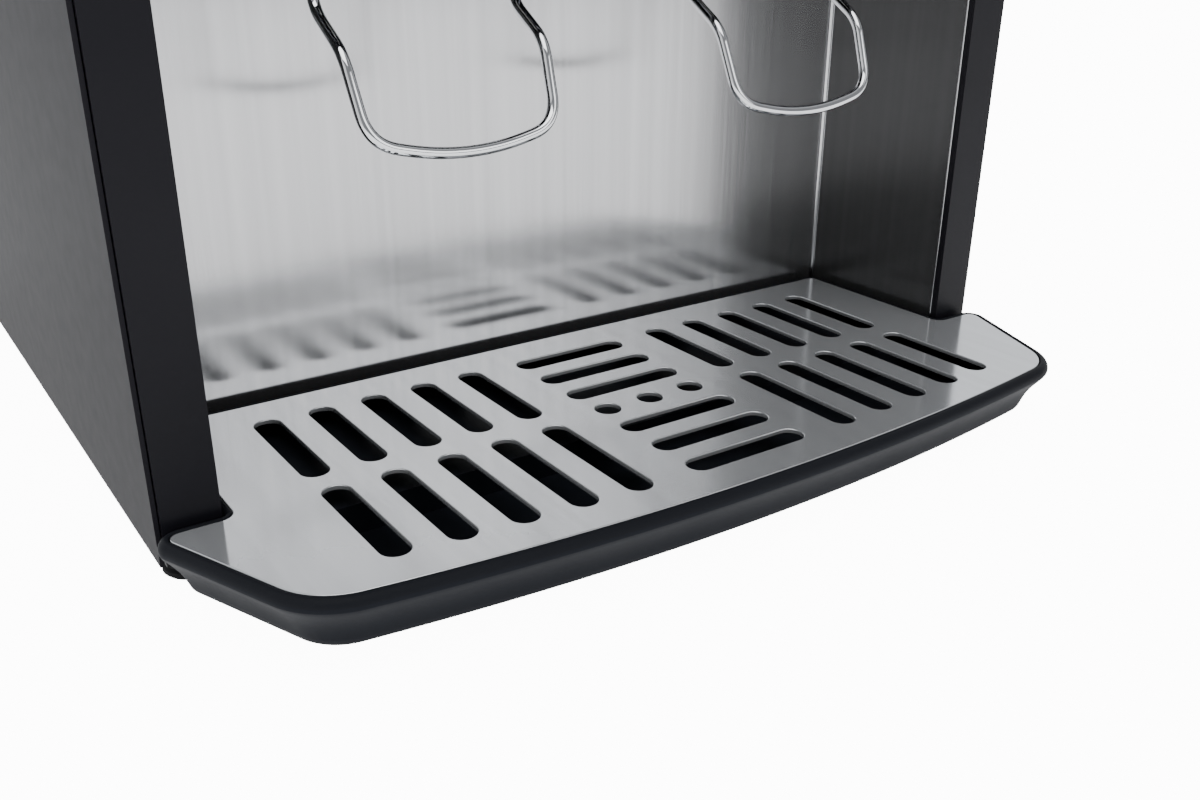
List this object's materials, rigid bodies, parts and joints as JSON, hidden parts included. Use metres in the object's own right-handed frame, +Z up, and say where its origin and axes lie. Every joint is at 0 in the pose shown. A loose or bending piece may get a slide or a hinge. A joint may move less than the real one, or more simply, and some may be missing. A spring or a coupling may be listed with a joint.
{
  "type": "countertop water dispenser",
  "caption": "Countertop water dispenser: cabinet with an alcove, wire levers under the taps, and a slotted drip grille on a slide-out tray.",
  "frame": {"origin": "middle of the footprint, on the counter under the feet", "axes": "+X to the right seen from the front, +Y from the front to the back, +Z up"},
  "size_m": [0.314, 0.4336, 0.451],
  "materials": {
    "dark_steel": "satin",
    "rubber": "matt",
    "grey_paint": "satin",
    "black_satin": "satin",
    "black_gloss": "gloss",
    "red_plastic": "gloss",
    "blue_plastic": "gloss",
    "grey_plastic": "satin",
    "board_green": "satin",
    "brushed": "brushed",
    "dark_brushed": "dark brushed",
    "tray_plastic": "satin",
    "zinc": "zinc plated",
    "chrome_wire": "polished",
    "white_plastic": "satin",
    "foam": "matt",
    "heater_brass": "satin",
    "cast_black": "painted",
    "fin_aluminium": "satin",
    "hose_white": "satin"
  },
  "bodies": {
    "cabinet": {"base_pan": "dark_steel", "rubber_feet": "rubber", "side_panel_left": "grey_paint", "side_panel_right": "grey_paint", "back_panel": "dark_steel", "rear_bumpers": "rubber", "top_cover": "black_satin", "post_left": "black_satin", "post_right": "black_satin", "header": "black_satin", "fascia": "black_gloss", "control_window": "black_gloss", "control_board": "board_green", "alcove_back": "brushed", "alcove_side_left": "dark_brushed", "alcove_side_right": "dark_brushed", "alcove_ceiling": "brushed", "tap_housing": "black_satin", "lever_bracket": "zinc", "pivot_pins": "zinc", "valve_body_left": "white_plastic", "valve_body_right": "white_plastic", "nozzle_left": "black_satin", "nozzle_right": "black_satin", "filter_manifold": "white_plastic", "equipment_shelf": "zinc", "cold_tank": "brushed", "cold_jacket": "foam", "hot_tank": "brushed", "band_heater": "heater_brass", "compressor": "cast_black", "condenser": "fin_aluminium", "fan_shroud": "black_satin", "power_board": "board_green", "power_inlet": "black_satin", "inlet_fitting": "white_plastic", "inlet_hose": "hose_white", "feed_hose": "hose_white", "cold_hose": "hose_white", "hot_hose": "hose_white", "case_screws": "zinc"},
    "button_hot": {"button_hot": "red_plastic"},
    "button_cold": {"button_cold": "blue_plastic"},
    "button_light": {"button_light": "grey_plastic"},
    "drip_tray": {"drip_tray": "tray_plastic"},
    "drip_grille": {"drip_grille": "brushed"},
    "lever_left": {"lever_hub_left": "tray_plastic", "wire_lever_left": "chrome_wire"},
    "lever_right": {"lever_hub_right": "tray_plastic", "wire_lever_right": "chrome_wire"},
    "plunger_left": {"plunger_left": "white_plastic", "valve_spring_left": "zinc"},
    "plunger_right": {"plunger_right": "white_plastic", "valve_spring_right": "zinc"},
    "filter_lid": {"filter_lid": "black_satin"},
    "filter_sediment": {"filter_sediment": "white_plastic"},
    "filter_carbon": {"filter_carbon": "white_plastic"},
    "fan_rotor": {"fan_rotor": "grey_plastic"},
    "switch_hot": {"switch_hot": "red_plastic"},
    "switch_cold": {"switch_cold": "blue_plastic"}
  },
  "joints": [
    {"name": "lever_left_swing", "type": "hinge", "parent": "cabinet", "child": "lever_left", "pos_m": [-0.0615, -0.123, 0.216], "axis": [1, 0, 0], "range_deg": [0, 12], "stiffness_Nm_per_rad": 0.6, "springref_deg": -5.73},
    {"name": "lever_right_swing", "type": "hinge", "parent": "cabinet", "child": "lever_right", "pos_m": [0.0615, -0.123, 0.216], "axis": [1, 0, 0], "range_deg": [0, 12], "stiffness_Nm_per_rad": 0.6, "springref_deg": -5.73},
    {"name": "plunger_left_press", "type": "slide", "parent": "cabinet", "child": "plunger_left", "axis": [0, 0, -1], "range_m": [0, 0.0034], "deforming": ["valve_spring_left"]},
    {"name": "plunger_right_press", "type": "slide", "parent": "cabinet", "child": "plunger_right", "axis": [0, 0, -1], "range_m": [0, 0.0034], "deforming": ["valve_spring_right"]},
    {"name": "tray_slide", "type": "slide", "parent": "cabinet", "child": "drip_tray", "axis": [0, -1, 0], "range_m": [0, 0.12]},
    {"name": "grille_lift", "type": "slide", "parent": "drip_tray", "child": "drip_grille", "axis": [0, 0, 1], "range_m": [0, 0.04]},
    {"name": "lid_swing", "type": "hinge", "parent": "cabinet", "child": "filter_lid", "pos_m": [0, 0.1825, 0.447], "axis": [-1, 0, 0], "range_deg": [0, 100]},
    {"name": "sediment_twist", "type": "hinge", "parent": "cabinet", "child": "filter_sediment", "pos_m": [-0.038, 0.128, 0.3], "axis": [0, 0, 1], "range_deg": [0, 90]},
    {"name": "carbon_twist", "type": "hinge", "parent": "cabinet", "child": "filter_carbon", "pos_m": [0.038, 0.128, 0.3], "axis": [0, 0, 1], "range_deg": [0, 90]},
    {"name": "fan_spin", "type": "hinge", "parent": "cabinet", "child": "fan_rotor", "pos_m": [-0.08, 0.15, 0.1], "axis": [0, 1, 0], "continuous": true},
    {"name": "hot_rocker", "type": "hinge", "parent": "cabinet", "child": "switch_hot", "pos_m": [-0.068, 0.2065, 0.208], "axis": [-1, 0, 0], "range_deg": [0, 16]},
    {"name": "cold_rocker", "type": "hinge", "parent": "cabinet", "child": "switch_cold", "pos_m": [-0.046, 0.2065, 0.208], "axis": [-1, 0, 0], "range_deg": [0, 16]},
    {"name": "button_hot_press", "type": "slide", "parent": "cabinet", "child": "button_hot", "axis": [0, 1, 0], "range_m": [0, 0.0012], "stiffness_N_per_m": 400, "springref_m": -0.001},
    {"name": "button_cold_press", "type": "slide", "parent": "cabinet", "child": "button_cold", "axis": [0, 1, 0], "range_m": [0, 0.0012], "stiffness_N_per_m": 400, "springref_m": -0.001},
    {"name": "button_light_press", "type": "slide", "parent": "cabinet", "child": "button_light", "axis": [0, 1, 0], "range_m": [0, 0.0012], "stiffness_N_per_m": 400, "springref_m": -0.001}
  ],
  "couplings": [
    {"joint": "plunger_left_press", "follows": "lever_left_swing", "m_per_rad": 0.0153},
    {"joint": "plunger_right_press", "follows": "lever_right_swing", "m_per_rad": 0.0153}
  ]
}
